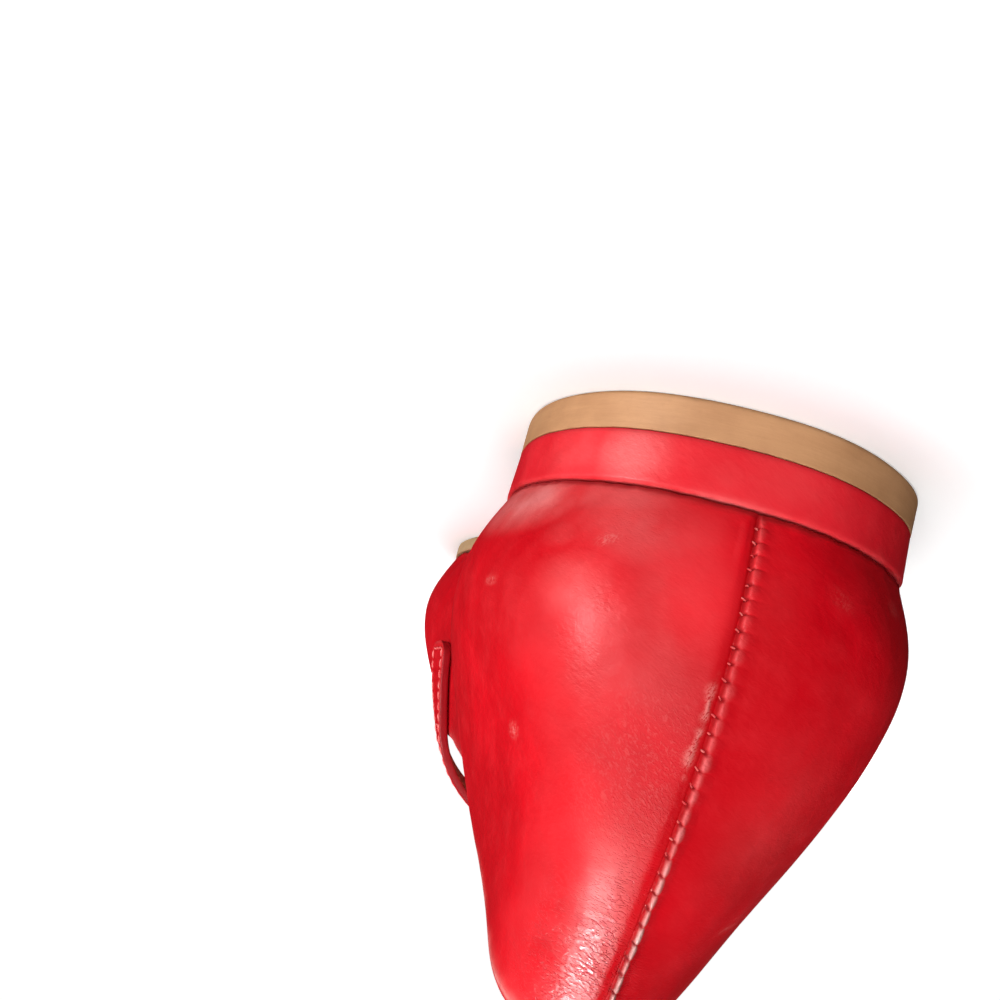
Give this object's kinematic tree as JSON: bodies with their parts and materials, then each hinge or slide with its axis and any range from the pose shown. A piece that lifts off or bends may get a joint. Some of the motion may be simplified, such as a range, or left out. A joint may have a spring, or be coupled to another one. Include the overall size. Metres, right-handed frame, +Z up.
{
  "type": "mary jane flat",
  "caption": "Low women's shoe for the left foot in smooth red leather, with a closed back seam, a plain toe, a buckled strap over the instep and a thin sole with a low covered heel",
  "frame": {"origin": "on the ground, under the middle of the shoe's bounding box", "axes": "+Y to the toe, +Z up, +X to the inner (medial) side of the left foot"},
  "size_m": [0.0867, 0.2525, 0.0724],
  "materials": {
    "upper_leather": "smooth red leather, semi-gloss",
    "outsole": "matt light tan",
    "heel_cover": "smooth red leather, semi-gloss",
    "top_piece": "satin light tan",
    "insole": "matt natural leather",
    "strap_leather": "smooth red leather, semi-gloss",
    "buckle_metal": "polished pale gold",
    "pin_metal": "polished pale gold"
  },
  "bodies": {
    "root": {"upper": "upper_leather", "outsole": "outsole", "heel_block": "heel_cover", "top_piece": "top_piece", "insole": "insole", "strap": "strap_leather", "buckle": "buckle_metal", "buckle_pin": "pin_metal"}
  },
  "joints": []
}
